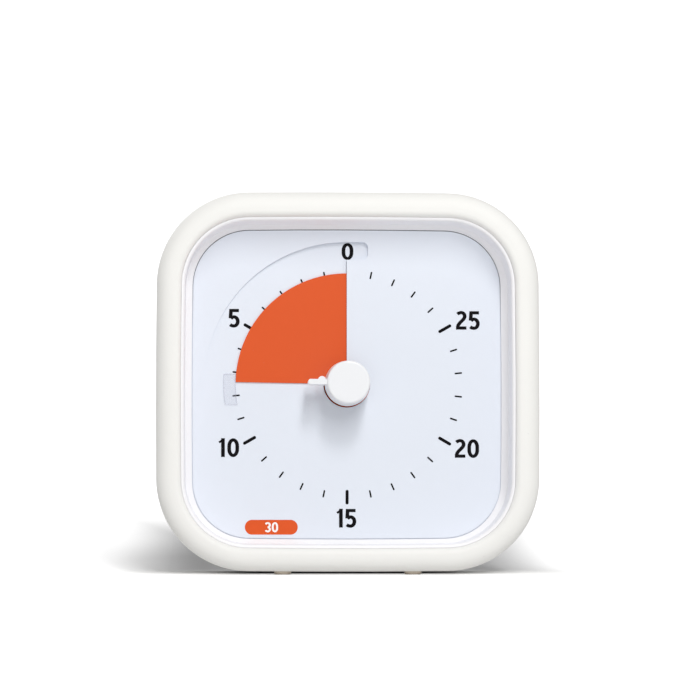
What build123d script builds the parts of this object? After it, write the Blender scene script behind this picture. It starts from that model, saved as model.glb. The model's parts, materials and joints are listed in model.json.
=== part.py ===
from build123d import *
from math import cos, pi, radians, sin
import os

# A visual countdown timer: a square clock in a soft sleeve. A coloured disc winds out through a
# slit in the dial as the knob is turned, and a quartz movement winds it back in.
#
# Everything is drawn in the case's own frame: x to the right, y up and z towards the viewer, with
# the origin at the middle of the case. The last step stands the case up: the front then faces -Y,
# +Z is up, and the origin is under the middle of the feet. Lengths are millimetres, angles are
# degrees, and dial angles run counter-clockwise from twelve o'clock, as the minutes do.

# Case
cover_width = 89.0
cover_height = 88.0
case_depth = 51.0
corner_radius = 21.5
side_bow = 0.4
foot_height = 0.7
dial_drop = 0.3

# Silicone sleeve
cover_wall = 2.2
cover_lip = 2.2
lip_side = 5.75
lip_top = 5.65
rear_lip_side = 10.5
front_round = 3.8
rear_round = 3.0
lip_round = 1.4

# Rubber feet
foot_radius = 2.0
foot_round = 0.55
foot_seat = 1.2
foot_spacing_x = 30.2
foot_spacing_z = 39.0

# Rigid housing
housing_gap = 0.1
housing_wall = 1.6
bezel_gap = 0.05
bezel_set_back = 1.3
bezel_rim = 0.8
bezel_round = 0.65
bezel_draft = 0.1
ring_side = 1.45
ring_top = 1.05
ring_edge = 0.3
ring_rise = 1.2
bezel_wall = 1.2
rim_thickness = 1.8
parting_z = -6.0
tongue_height = 1.2
tongue_wall = 0.7
back_wall = 2.2
back_round = 1.8

# Dial
dial_recess = 12.0
dial_overlap = 2.0
dial_step = 0.35
window_gap = 0.2
hub_hole_radius = 5.5
ramp_radius = 33.4
ramp_angle = 95.0
floor_thickness = 0.7
slit_lip = 0.5
notch_length = 5.0
notch_web = 0.15
notch_round = 1.4
slit_gap = 0.12
relief_margin = 5.0
hook_length = 5.0
hook_thickness = 1.4
hook_bite = 0.8
hook_spacing = 36.0
dial_post_radius = 2.0
dial_post_reach = 32.0

# Coloured disc
disc_radius = 26.05
disc_inner_radius = 4.3
disc_thickness = 0.2
disc_sweep = 359.0
disc_clearance = 0.12
set_angle = 89.1
tab_radius = 28.95
tab_back = 1.9
tab_front = 5.3

# Knob, and the sleeve that carries the disc
knob_radius = 4.95
knob_base_radius = 5.3
knob_face_drop = 0.5
knob_skirt_gap = 3.2
knob_round = 0.5
knob_wall = 0.6
knob_crown = 2.0
stem_radius = 2.6
stem_flat = 2.1
stem_gap = 0.3
arbor_cap = 0.5
fin_tip_radius = 9.3
fin_thickness = 1.2
fin_drop = 0.6
fin_foot_gap = 0.5
fin_round = 0.5
boss_radius = 0.9
boss_reach = 6.1
boss_lag = 5.0
boss_drop = 3.0
sleeve_wall = 1.42
sleeve_clearance = 0.08
sleeve_length = 8.7
sleeve_tail = 0.1
flange_radius = 5.0
flange_thickness = 0.5

# Quartz movement
case_size = 48.0
case_round = 4.0
case_wall = 1.2
movement_clearance = 0.13
movement_back_gap = 0.85
plate_thickness = 1.2
ear_radius = 3.4
arbor_radius = 1.5
arbor_neck = 1.1
shoulder_wall = 0.6
end_shake = 0.15
shaft_radius = 0.5
rotor_shaft_radius = 0.4
clutch_rim = 3.2
clutch_neck = 1.9
collar_radius = 2.2
pivot_radius = 0.35
pivot_depth = 0.7
running_gap = 0.05
bush_radius = 2.6
gear_module = 0.2
root_depth = 1.3
wheel_addendum = 0.8
wheel_root_share = 0.28
wheel_tip_share = 0.10
leaf_addendum = 0.6
leaf_root_share = 0.22
leaf_tip_share = 0.12
wheel_holes = 6
hole_share = 0.19
hole_reach_share = 0.6
centre_teeth = 80
second_teeth = 72
first_teeth = 60
second_leaves = 8
first_leaves = 8
rotor_leaves = 6
second_direction = 180.0
first_direction = 285.0
rotor_direction = 345.0
magnet_radius = 2.5
stator_gap = 0.5
stator_web = 1.5
stator_shoulder = 0.5
coil_length = 12.0
core_bearing = 2.0
coil_shift = 4.0
coil_drop = 2.4
bobbin_flange_thickness = 0.6
coil_post_radius = 0.9
lid_post_radius = 2.6

# Movement's levels and thicknesses, as shares of the step from one wheel to the next
floor_share = 0.16
magnet_share = 0.72
magnet_gap_share = 0.04
pinion_share = 0.72
wheel_share = 0.32
lid_share = 0.96
shoulder_share = 0.2
clutch_share = 0.24
clutch_wall_share = 0.12
collar_share = 0.32
stator_share = 0.28
core_share = 0.4
bobbin_wall_share = 0.24
winding_share = 0.12

# Battery bay: one AA cell on its side
cell_radius = 7.1
cell_length = 50.2
cell_nub_radius = 2.7
cell_nub_length = 1.2
cell_round = 0.6
cell_drop = 17.0
cell_gap = 0.25
bay_wall = 1.2
spring_space = 4.5
contact_space = 1.3
contact_thickness = 0.4
contact_width = 9.9
pip_radius = 1.8
pip_tip_radius = 1.2
spring_wire_radius = 0.35
spring_turns = 4
spring_radius = 3.6
spring_taper = -14
spring_sink = 0.9
door_width = 58.0
door_height = 19.0
door_thickness = 2.0
door_gap = 0.2
door_pin_radius = 0.6
door_pin_length = 1.0
door_frame = 1.6
door_cell_gap = 0.5
bay_side_gap = 0.4
finger_notch_radius = 5.0
door_rib_height = 0.3
door_rib_width = 1.0
door_inset = 3.0
ridge_count = 5
ridge_radius = 0.45
ridge_length = 16.0
ridge_step = 2.0
ridge_pitch = 1.8
ridge_inset = 3.0

# Sound: speaker, circuit board and volume dial
speaker_radius = 13.5
speaker_thickness = 4.4
speaker_gap = 0.1
speaker_seat_wall = 1.2
speaker_seat_height = 2.4
speaker_step_share = 0.5
speaker_magnet_share = 0.6
speaker_x = -17.0
sound_y = 16.5
slot_width = 1.4
slot_pitch = 3.0
slot_count = 7
slot_margin = 2.2
volume_x = 16.5
volume_radius = 10.0
volume_thickness = 1.8
volume_gap = 0.4
volume_back_gap = 0.2
volume_pad_wall = 0.8
volume_pad_height = 1.2
volume_bar_height = 1.2
volume_bar_width = 3.0
volume_hub_radius = 3.0
volume_shaft_radius = 1.5
volume_notches = 24
notch_reach = 0.15
notch_radius = 0.5
bar_inset = 1.5
bar_tip_share = 0.45
bar_round_share = 0.35
board_width = 24.8
board_height = 24.0
board_shift = -3.2
board_thickness = 1.6
board_gap = 8.4
board_round = 1.5
board_post_radius = 2.0
board_post_inset = 1.8
pot_size = 10.0
pot_depth = 4.4
pot_round = 0.8
pot_wall = 1.0
hub_gap = 0.3
shaft_end_gap = 0.1
chip_width = 4.0
chip_length = 8.0
chip_height = 1.5
chip_lift = 0.1
chip_chamfer = 0.25
chip_shift_x = -6.0
chip_shift_y = -3.0
leg_count = 6
leg_pitch = 1.27
leg_width = 0.5
leg_height = 0.35
leg_span = 6.4
crystal_radius = 1.0
crystal_length = 6.0
crystal_round = 0.25
crystal_shift_x = 3.0
crystal_shift_y = 7.0

# Screws
screw_radius = 1.1
screw_head_radius = 1.9
screw_head_height = 1.3
screw_gap = 0.05
screw_bite = 6.0
screw_reach_x = 29.0
screw_reach_y = 29.0
boss_wall = 1.5
small_screw_radius = 0.8
small_head_radius = 1.5
small_head_height = 0.9
small_bite = 2.6
screw_clearance = 0.1
head_clearance = 0.2
tap_runout = 0.6
lid_screw_inset = 3.0
head_round_share = 0.4
cross_depth_share = 0.5
cross_length_share = 1.2
cross_width_share = 0.3

# Cuts that open a face run past it by this much
cut_past = 1.0
# A full round stops this far short of half the thickness
round_short = 0.01
# Shapes drawn standing on their base
STAND = (Align.CENTER, Align.CENTER, Align.MIN)

# Worked out
half_depth = case_depth / 2
cover_inner_front = half_depth - cover_lip
housing_front = cover_inner_front - housing_gap
housing_back = -housing_front
housing_side = cover_wall + housing_gap
inner_side = housing_side + housing_wall
case_centre = foot_height + cover_height / 2
dial_z = half_depth - dial_recess
bezel_front = half_depth - bezel_set_back
rim_side = lip_side + bezel_gap
rim_top = lip_top + bezel_gap
bezel_side = rim_side + bezel_rim
bezel_top = rim_top + bezel_rim
foot_side = bezel_side + bezel_draft
foot_top = bezel_top + bezel_draft
window_side = foot_side + ring_side
window_top = foot_top + ring_top
dial_side = window_side - dial_overlap
dial_top = window_top - dial_overlap
ring_back = dial_z - dial_step
ring_front = dial_z + ring_edge
ring_foot = ring_front + ring_rise
ramp_depth = slit_lip + 2 * disc_clearance + disc_thickness
screw_pitch = ramp_depth * 360 / ramp_angle
dial_thickness = ramp_depth + floor_thickness
disc_level = -(slit_lip + disc_clearance + disc_thickness / 2)
slit_radius = tab_radius + slit_gap
relief_angle = 360 * (dial_thickness - slit_lip) / screw_pitch + relief_margin
disc_start = set_angle - disc_sweep
knob_face = half_depth - knob_face_drop
knob_hollow = knob_face - knob_crown
arbor_end = knob_hollow - arbor_cap
skirt_z = dial_z + knob_skirt_gap
sleeve_radius = stem_radius + sleeve_clearance + sleeve_wall
flange_low = disc_level - disc_thickness / 2 - flange_thickness
sleeve_back = dial_z + flange_low + disc_start * screw_pitch / 360 - sleeve_tail
movement_top = sleeve_back - set_angle * screw_pitch / 360 - movement_clearance
plate_back = movement_top - plate_thickness
back_inner = housing_back + back_wall
door_inner = housing_back + door_thickness
cell_z = door_inner + door_cell_gap + cell_radius
bay_floor = cell_z + cell_radius + cell_gap
movement_back = bay_floor + bay_wall + movement_back_gap
case_floor = movement_back + case_wall
bay_length = cell_length + spring_space + contact_space
bay_half_height = cell_radius + bay_side_gap
door_axis_z = housing_back + door_thickness / 2
door_bottom = -cell_drop - door_height / 2
door_axis_y = door_bottom + door_thickness / 2
board_front = back_inner + board_gap + board_thickness
board_back = back_inner + board_gap
rotor_share = floor_share + magnet_share + magnet_gap_share
first_share = rotor_share + (pinion_share - wheel_share) / 2
level_spacing = (plate_back - case_floor) / (first_share + 2 + lid_share)
wheel_width = level_spacing * wheel_share
pinion_width = level_spacing * pinion_share
magnet_length = level_spacing * magnet_share
rotor_leaf_z = case_floor + level_spacing * rotor_share
first_wheel_z = case_floor + level_spacing * first_share
second_wheel_z = first_wheel_z + level_spacing
centre_wheel_z = second_wheel_z + level_spacing
shoulder_thickness = level_spacing * shoulder_share
clutch_height = level_spacing * clutch_share
clutch_wall = level_spacing * clutch_wall_share
collar_thickness = level_spacing * collar_share
magnet_back = case_floor + level_spacing * floor_share
stator_thickness = level_spacing * stator_share
stator_back = magnet_back + (magnet_length - stator_thickness) / 2
core_radius = level_spacing * core_share
coil_z = stator_back + stator_thickness + core_radius
bobbin_flange = coil_z - case_floor - end_shake
bobbin_radius = core_radius + level_spacing * bobbin_wall_share
coil_radius = bobbin_flange - level_spacing * winding_share


def polar(distance, angle):
    """Point at a distance from the axis, angle measured counter-clockwise from +x."""
    return (distance * cos(radians(angle)), distance * sin(radians(angle)))


def step_from(start, distance, angle):
    """Point reached from another by a distance and a direction."""
    shift = polar(distance, angle)
    return (start[0] + shift[0], start[1] + shift[1])


def outline(side, top=None):
    """The case's rounded, slightly bowed square, drawn in from the sleeve's outside."""
    top = side if top is None else top
    x = cover_width / 2 - side - side_bow
    y = cover_height / 2 - top - side_bow
    corners = [(-x, -y), (x, -y), (x, y), (-x, y)]
    sides = [SagittaArc(corners[i - 1], corners[i], -side_bow) for i in range(4)]
    face = make_face(sides)
    return fillet(face.vertices(), corner_radius - side)


def slab(shape, back, front):
    """A flat shape given thickness, from one depth to another."""
    return Pos(0, 0, back) * extrude(shape, front - back, dir=(0, 0, 1))


def rod(radius, back, front, at=(0, 0)):
    """A round rod along z."""
    return Pos(at[0], at[1], back) * Cylinder(radius, front - back, align=STAND)


def block(width, height, back, front, at=(0, 0)):
    """A square-cornered block along z."""
    return Pos(at[0], at[1], back) * Box(width, height, front - back, align=STAND)


def helical_sector(inner, outer, low, high, start, turn):
    """A sector whose faces climb with the disc's screw. Low and high are its levels at twelve
    o'clock, over the dial's face."""
    path = Helix(screw_pitch, screw_pitch * turn / 360, outer)
    middle = Pos((inner + outer) / 2, (low + high) / 2)
    section = Plane.XZ * middle * Rectangle(outer - inner, high - low)
    climb = start * screw_pitch / 360
    return Pos(0, 0, climb) * Rot(0, 0, 90 + start) * sweep(section, path, is_frenet=True)


def on_dial(shape):
    """Moves a shape from the dial's own face and centre to its place in the case."""
    return Pos(0, -dial_drop, dial_z) * shape


def screw(radius, head_radius, head_height, tip, seat, at=(0, 0)):
    """A pan head screw whose head sits behind the seat, with a cross slot in the head."""
    direction = 1 if tip > seat else -1
    head_end = seat - direction * head_height
    shank = rod(radius, min(tip, seat), max(tip, seat), at)
    head = rod(head_radius, min(head_end, seat), max(head_end, seat), at)
    outer_rim = head.edges().filter_by(GeomType.CIRCLE).sort_by(Axis.Z)[0 if direction > 0 else -1]
    head = fillet(outer_rim, head_height * head_round_share)
    slot_depth = head_height * cross_depth_share
    slot_z = (head_end, head_end + direction * slot_depth)
    cross_length = head_radius * cross_length_share
    cross_width = head_radius * cross_width_share
    head -= block(cross_length, cross_width, min(slot_z), max(slot_z), at)
    head -= block(cross_width, cross_length, min(slot_z), max(slot_z), at)
    return shank + head


def tapped(mouth, direction, places):
    """Holes for small screws, from their mouth inwards."""
    end = mouth + direction * (small_bite + tap_runout)
    return [rod(small_screw_radius + screw_gap, min(mouth, end), max(mouth, end), at) for at in places]


def small_screws(seat, tip, places):
    """Small pan head screws, all at one depth."""
    size = (small_screw_radius, small_head_radius, small_head_height)
    return Compound(children=[screw(*size, tip, seat, at) for at in places])


corner_signs = ((1, 1), (-1, 1), (-1, -1), (1, -1))
case_screws_at = [(screw_reach_x * i, screw_reach_y * j) for i, j in corner_signs]
dial_posts_at = [polar(dial_post_reach, 90 * i) for i in range(4)]
lid_screw_reach = case_size / 2 - lid_screw_inset
lid_screws_at = [(lid_screw_reach * i, lid_screw_reach * j) for i, j in corner_signs]
board_left = volume_x + board_shift - board_width / 2 + board_post_inset
board_right = volume_x + board_shift + board_width / 2 - board_post_inset
board_low = sound_y - board_height / 2 + board_post_inset
board_high = sound_y + board_height / 2 - board_post_inset
speaker_at = (speaker_x, sound_y)
volume_at = (volume_x, sound_y)
board_posts_at = [(board_left, board_low), (board_left, board_high), (board_right, board_low)]


# ---- Sleeve and feet --------------------------------------------------------------------------

def silicone_cover():
    """Soft sleeve, open at the front round the dial and at the back round the battery door."""
    body = slab(outline(0), -half_depth, half_depth)
    body = fillet(body.faces().sort_by(Axis.Z)[-1].edges(), front_round)
    body = fillet(body.faces().sort_by(Axis.Z)[0].edges(), rear_round)
    body -= slab(outline(cover_wall), -cover_inner_front, cover_inner_front)
    body -= Pos(0, -dial_drop, 0) * slab(outline(lip_side, lip_top), 0, half_depth + cut_past)
    body -= slab(outline(rear_lip_side), -half_depth - cut_past, 0)
    front_edge = body.faces().sort_by(Axis.Z)[-1].inner_wires()[0].edges()
    body = fillet(front_edge, lip_round)
    rear_edge = body.faces().sort_by(Axis.Z)[0].inner_wires()[0].edges()
    body = fillet(rear_edge, lip_round)
    return body - rubber_feet()


def rubber_feet():
    """Four round plugs let into the sleeve's underside."""
    feet = []
    base = -cover_height / 2 - foot_height
    for i, j in corner_signs:
        at = Pos(i * foot_spacing_x / 2, base, j * foot_spacing_z / 2)
        plug = at * Rot(-90, 0, 0) * Cylinder(foot_radius, foot_height + foot_seat, align=STAND)
        rim = plug.edges().filter_by(GeomType.CIRCLE).sort_by(Axis.Y)[0]
        feet.append(fillet(rim, foot_round))
    return Compound(children=feet)


# ---- Rigid housing ----------------------------------------------------------------------------

def boss(at, back, front, radius):
    """Round boss joined to the housing's corner by a rib, cut off at the housing wall."""
    sign_x = 1 if at[0] > 0 else -1
    sign_y = 1 if at[1] > 0 else -1
    rib = block(corner_radius, boss_wall, back, front, (corner_radius / 2, 0))
    rib = Pos(at[0], at[1], 0) * Rot(0, 0, 45 * (sign_x * sign_y) + (0 if sign_x > 0 else 180)) * rib
    return rod(radius, back, front, at) + rib


def front_housing():
    """Front half: a framed recess for the dial, with a double wall round it."""
    body = slab(outline(housing_side), parting_z, housing_front)
    body -= slab(outline(inner_side), parting_z, ring_back)
    groove = slab(outline(inner_side), ring_back, housing_front - rim_thickness)
    inner_wall = outline(foot_side - bezel_wall, foot_top - bezel_wall)
    body -= groove - Pos(0, -dial_drop, 0) * slab(inner_wall, ring_back, housing_front)
    body += Pos(0, -dial_drop, 0) * slab(outline(rim_side, rim_top), housing_front, bezel_front)
    body -= Pos(0, -dial_drop, 0) * recess()
    rim_edge = body.faces().sort_by(Axis.Z)[-1].inner_wires()[0].edges()
    body = fillet(rim_edge, bezel_round)
    inside = slab(outline(housing_side + housing_wall / 2), parting_z, ring_back)
    bosses = [boss(at, parting_z, movement_top, screw_radius + boss_wall) for at in case_screws_at]
    body += (Part() + bosses) & inside
    body -= rebate()
    hole_end = parting_z + screw_bite + tap_runout
    body -= [rod(screw_radius + screw_gap, parting_z, hole_end, at) for at in case_screws_at]
    return body + dial_hooks()


def recess():
    """Space over the dial: a steep wall, a sloping ring at its foot, and the window."""
    window = outline(window_side, window_top)
    foot = Pos(0, 0, ring_foot) * outline(foot_side, foot_top)
    wall = loft([foot, Pos(0, 0, bezel_front) * outline(bezel_side, bezel_top)])
    slope = loft([Pos(0, 0, ring_front) * window, foot])
    return wall + slope + slab(window, ring_back, ring_front)


def rebate():
    """Step inside the front half's rear edge, where the rear half's tongue goes in."""
    front = parting_z + tongue_height + housing_gap
    step = slab(outline(inner_side - tongue_wall), parting_z, front)
    return step - slab(outline(inner_side), parting_z, front)


def dial_hooks():
    """Small hooks inside the front half that hold the dial against the window ring."""
    hook_back = dial_z - dial_thickness - hook_thickness
    reach_x = cover_width / 2 - inner_side + housing_wall / 2
    reach_y = cover_height / 2 - inner_side + housing_wall / 2
    bite_x = cover_width / 2 - dial_side - hook_bite
    bite_y = cover_height / 2 - dial_top - hook_bite
    hook_front = hook_back + hook_thickness
    hooks = []
    for i, j in corner_signs:
        over = (i * hook_spacing / 2, j * (reach_y + bite_y) / 2)
        beside = (i * (reach_x + bite_x) / 2, j * hook_spacing / 2)
        hooks.append(block(hook_length, reach_y - bite_y, hook_back, hook_front, over))
        hooks.append(block(reach_x - bite_x, hook_length, hook_back, hook_front, beside))
    return hooks


def rear_housing():
    """Rear half: battery bay, speaker seat, volume dial recess and screw posts."""
    body = slab(outline(housing_side), housing_back, parting_z)
    body = fillet(body.faces().sort_by(Axis.Z)[0].edges(), back_round)
    body -= slab(outline(inner_side), back_inner, parting_z)
    tongue_back = parting_z - tongue_height
    tongue_front = parting_z + tongue_height
    tongue = slab(outline(inner_side - tongue_wall + housing_gap), tongue_back, tongue_front)
    body += tongue - slab(outline(inner_side), tongue_back, tongue_front)
    inside = slab(outline(housing_side + housing_wall / 2), back_inner, parting_z)
    posts = [boss(at, back_inner, parting_z, screw_radius + boss_wall) for at in case_screws_at]
    body += (Part() + posts) & inside
    body += battery_bay()
    body += sound_seats()
    body -= battery_bay_cuts()
    body -= sound_cuts()
    for at in case_screws_at:
        body -= rod(screw_radius + screw_gap, housing_back, parting_z, at)
        body -= rod(screw_head_radius + head_clearance, housing_back, housing_back + screw_head_height, at)
    return body


def battery_bay():
    """Walls round the cell, and the frame that the door shuts against."""
    outer_length = bay_length + 2 * bay_wall
    outer_height = 2 * (bay_half_height + bay_wall)
    centre = (0, -cell_drop)
    walls = block(outer_length, outer_height, back_inner, bay_floor + bay_wall, centre)
    frame_length = door_width + 2 * door_gap + 2 * door_frame
    frame_height = door_height + 2 * door_gap + 2 * door_frame
    return walls + block(frame_length, frame_height, back_inner, door_inner + door_gap + door_frame, centre)


def battery_bay_cuts():
    """The bay itself, the door's recess, its pivot holes and a notch for a fingernail."""
    centre = (0, -cell_drop)
    door_step = door_inner + door_gap / 2
    mouth = housing_back - cut_past
    cuts = block(bay_length, 2 * bay_half_height, mouth, bay_floor, centre)
    cuts += block(door_width + 2 * door_gap, door_height + 2 * door_gap, mouth, door_step, centre)
    pin_reach = door_width / 2 + door_pin_length + door_gap
    pin_hole = Cylinder(door_pin_radius + running_gap, 2 * pin_reach)
    cuts += Pos(0, door_axis_y, door_axis_z) * Rot(0, 90, 0) * pin_hole
    notch = Cylinder(finger_notch_radius, door_thickness)
    above = 2 * finger_notch_radius
    notch &= Pos(0, above / 2, 0) * Box(above, above, door_thickness)
    notch_y = -cell_drop + door_height / 2
    return cuts + Pos(0, notch_y, housing_back) * notch


def sound_seats():
    """Rings and posts inside the back wall for the speaker, the volume dial and the board."""
    seat_inner = speaker_radius + speaker_gap
    seat_front = back_inner + speaker_seat_height
    seat = rod(seat_inner + speaker_seat_wall, back_inner, seat_front, speaker_at)
    seat -= rod(seat_inner, back_inner, seat_front, speaker_at)
    pad_radius = volume_radius + volume_gap + volume_pad_wall
    pad = rod(pad_radius, back_inner, back_inner + volume_pad_height, volume_at)
    posts = [rod(board_post_radius, back_inner, board_back, at) for at in board_posts_at]
    return Part() + seat + pad + posts


def sound_cuts():
    """Slots over the speaker, the recess for the volume dial and holes for the board's screws."""
    slots = []
    for i in range(slot_count):
        offset = (i - (slot_count - 1) / 2) * slot_pitch
        length = 2 * ((speaker_radius - slot_margin) ** 2 - offset ** 2) ** 0.5
        shape = Pos(speaker_x, sound_y + offset) * SlotOverall(length, slot_width)
        slots.append(slab(shape, housing_back, back_inner))
    recess_end = housing_back + volume_thickness + volume_back_gap
    recess = rod(volume_radius + volume_gap, housing_back, recess_end, volume_at)
    hub_hole = rod(volume_hub_radius + running_gap, housing_back, board_back, volume_at)
    return Part() + slots + recess + hub_hole + tapped(board_back, -1, board_posts_at)


# ---- Dial and disc ----------------------------------------------------------------------------

def dial_plate():
    """Dial with a ramp sunk into its upper left, where the disc comes out through the slit. Its
    field stands forward in the window, and its rim lies behind the ring."""
    plate = slab(outline(dial_side, dial_top), -dial_thickness, -dial_step)
    plate += slab(outline(window_side + window_gap, window_top + window_gap), -dial_step, 0)
    plate += [rod(dial_post_radius, movement_top - dial_z, -dial_thickness, at) for at in dial_posts_at]
    plate -= rod(hub_hole_radius, -dial_thickness, 0)
    inner = hub_hole_radius - cut_past
    plate -= helical_sector(inner, ramp_radius, -ramp_depth, ramp_depth, 0, ramp_angle)
    low = -2 * dial_thickness
    plate -= helical_sector(inner, slit_radius, low, -slit_lip, -relief_angle, relief_angle)
    notch_low = slit_radius + notch_web
    notch_shape = Rectangle(notch_length, ramp_radius - notch_low)
    notch_shape = Pos(notch_length / 2, (notch_low + ramp_radius) / 2) * notch_shape
    notch_corners = notch_shape.vertices().group_by(Axis.X)[-1]
    plate -= slab(fillet(notch_corners, notch_round), -ramp_depth, 0)
    return on_dial(plate - tapped(movement_top - dial_z, 1, dial_posts_at))


def timer_disc():
    """Thin coloured disc, slit once and wound as one turn of a screw."""
    low = disc_level - disc_thickness / 2
    high = disc_level + disc_thickness / 2
    return on_dial(helical_sector(disc_inner_radius, disc_radius, low, high, disc_start, disc_sweep))


def disc_tab():
    """Clear film tab on the disc's rim. Its ends lie behind and ahead of the leading edge, and are
    parallel to it."""
    low = disc_level - disc_thickness / 2
    high = disc_level + disc_thickness / 2
    film = helical_sector(disc_radius, tab_radius, low, high, set_angle - 90, 180)
    middle = (tab_radius / 2, (tab_front - tab_back) / 2)
    ends = block(tab_radius, tab_back + tab_front, -screw_pitch, screw_pitch, middle)
    return on_dial(film & Rot(0, 0, 90 + set_angle) * ends)


def double_flat(radius, flat, back, front):
    """A rod with two flats."""
    return rod(radius, back, front) & block(2 * radius, 2 * flat, back, front)


def disc_sleeve():
    """Carries the disc on a winding flange, and slides along the knob's stem."""
    back = sleeve_back - dial_z
    front = back + sleeve_length
    flange_high = flange_low + flange_thickness
    root = sleeve_radius - sleeve_wall / 4
    body = rod(sleeve_radius, back, front)
    body += helical_sector(root, flange_radius, flange_low, flange_high, disc_start, disc_sweep)
    bore = double_flat(stem_radius + sleeve_clearance, stem_flat + sleeve_clearance, back, front)
    return on_dial(body - bore)


def knob_cone(base, front):
    """A slightly tapered round, as long as the knob in front of the dial."""
    return Pos(0, 0, skirt_z) * Cone(base, front, knob_face - skirt_z, align=STAND)


def knob():
    """Knob with a pointer fin, a hollow skirt and the stem that turns the disc."""
    cap = knob_cone(knob_base_radius, knob_radius)
    cap = fillet(cap.edges().filter_by(GeomType.CIRCLE).sort_by(Axis.Z)[-1], knob_round)
    hollow = knob_cone(knob_base_radius - knob_wall, knob_radius - knob_wall)
    hollow &= rod(knob_base_radius, skirt_z, knob_hollow)
    stem = double_flat(stem_radius, stem_flat, movement_top + stem_gap, knob_hollow)
    fin_back = skirt_z + fin_foot_gap
    fin_front = knob_face - fin_drop
    fin_root = knob_radius - knob_wall / 2
    length = fin_tip_radius - fin_root
    fin = block(length, fin_thickness, fin_back, fin_front, (fin_root + length / 2, 0))
    tip_edges = fin.edges().filter_by(Axis.Z).group_by(Axis.X)[-1]
    fin = fillet(tip_edges, fin_round)
    stake = rod(boss_radius, fin_back, fin_front - boss_drop, polar(boss_reach, -boss_lag))
    body = cap + Rot(0, 0, 90 + set_angle) * (fin + stake) - hollow + stem
    body -= rod(arbor_radius, movement_top, arbor_end)
    return Pos(0, -dial_drop, 0) * body


# ---- Movement ---------------------------------------------------------------------------------

def on_axis(shape):
    """Moves a shape from the movement's own axis to the dial's."""
    return Pos(0, -dial_drop, 0) * shape


def gear(teeth, width, addendum, root_share, tip_share):
    """Straight-flanked teeth, the first one on +x. Shares are half widths over the tooth's step."""
    pitch_radius = gear_module * teeth / 2
    root = pitch_radius - root_depth * gear_module
    tip = pitch_radius + addendum * gear_module
    corners = ((root, -root_share), (tip, -tip_share), (tip, tip_share), (root, root_share))
    points = [polar(radius, 360 * (i + share) / teeth) for i in range(teeth) for radius, share in corners]
    return slab(make_face(Polyline(*points, close=True)), 0, width)


def wheel(teeth):
    """A large wheel's toothed disc, lightened by round holes."""
    body = gear(teeth, wheel_width, wheel_addendum, wheel_root_share, wheel_tip_share)
    pitch_radius = gear_module * teeth / 2
    places = [polar(pitch_radius * hole_reach_share, 360 * i / wheel_holes) for i in range(wheel_holes)]
    return body - [rod(pitch_radius * hole_share, 0, wheel_width, at) for at in places]


def pinion(leaves):
    """A small pinion's leaves."""
    return gear(leaves, pinion_width, leaf_addendum, leaf_root_share, leaf_tip_share)


def centre_distance(teeth, leaves):
    """Distance between a wheel and the pinion in mesh with it."""
    return gear_module * (teeth + leaves) / 2


def mesh_angle(teeth, angle, leaves, direction):
    """Angle that puts a pinion's gap where a wheel's tooth stands on the line between them."""
    share = ((direction - angle) / (360 / teeth)) % 1
    return direction + 180 - (360 / leaves) * (0.5 - share)


second_at = polar(centre_distance(centre_teeth, second_leaves), second_direction)
first_at = step_from(second_at, centre_distance(second_teeth, first_leaves), first_direction)
rotor_at = step_from(first_at, centre_distance(first_teeth, rotor_leaves), rotor_direction)
second_angle = mesh_angle(centre_teeth, 0, second_leaves, second_direction)
first_angle = mesh_angle(second_teeth, 0, first_leaves, first_direction)
rotor_angle = mesh_angle(first_teeth, 0, rotor_leaves, rotor_direction)
pivots_at = [second_at, first_at, rotor_at]


def arbor():
    """Steel shaft from the movement's floor up into the knob, with a shoulder over the wheel."""
    shoulder = centre_wheel_z + wheel_width + running_gap
    body = rod(arbor_neck, case_floor + end_shake, shoulder)
    body += rod(pivot_radius * 2, case_floor - pivot_depth, case_floor + end_shake)
    body += rod(arbor_radius + shoulder_wall, shoulder, shoulder + shoulder_thickness)
    body += rod(arbor_radius, shoulder + shoulder_thickness, arbor_end)
    return on_axis(body)


def clutch_spring():
    """Dished washer that presses the wheel on to the shaft's shoulder, so that the knob can slip."""
    front = centre_wheel_z - running_gap
    outer = Cone(clutch_rim, clutch_neck, clutch_height, align=STAND)
    inner = Cone(clutch_rim - clutch_wall, clutch_neck - clutch_wall, clutch_height, align=STAND)
    dish = outer - Pos(0, 0, -clutch_wall / 2) * inner
    dish = Pos(0, 0, front) * Rot(180, 0, 0) * dish
    return on_axis(dish - rod(arbor_neck, front - clutch_height, front))


def clutch_collar():
    """Collar pressed on the shaft behind the spring."""
    front = centre_wheel_z - running_gap - clutch_height
    back = front - collar_thickness
    return on_axis(rod(collar_radius, back, front) - rod(arbor_neck, back, front))


def centre_wheel():
    """Wheel that carries the knob round once in the timer's full range."""
    body = wheel(centre_teeth) - rod(arbor_neck + running_gap, 0, wheel_width)
    return on_axis(Pos(0, 0, centre_wheel_z) * body)


def geared_arbor(teeth, wheel_z, leaves, leaf_angle, leaf_z, at):
    """A wheel and its pinion moulded with their shaft, which has a pivot at each end."""
    body = Pos(0, 0, wheel_z) * wheel(teeth)
    body += Pos(0, 0, leaf_z) * Rot(0, 0, leaf_angle) * pinion(leaves)
    body += rod(shaft_radius, case_floor + end_shake, plate_back - end_shake)
    body += rod(pivot_radius, case_floor - pivot_depth, plate_back + pivot_depth)
    return on_axis(Pos(at[0], at[1], 0) * body)


def leaf_level(wheel_z):
    """Depth of a pinion's back, with the wheel that it meets across its middle."""
    return wheel_z - (pinion_width - wheel_width) / 2


def second_wheel():
    """Wheel between the centre wheel and the first wheel."""
    leaf_z = leaf_level(centre_wheel_z)
    return geared_arbor(second_teeth, second_wheel_z, second_leaves, second_angle, leaf_z, second_at)


def first_wheel():
    """Wheel that the rotor drives."""
    leaf_z = leaf_level(second_wheel_z)
    return geared_arbor(first_teeth, first_wheel_z, first_leaves, first_angle, leaf_z, first_at)


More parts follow.
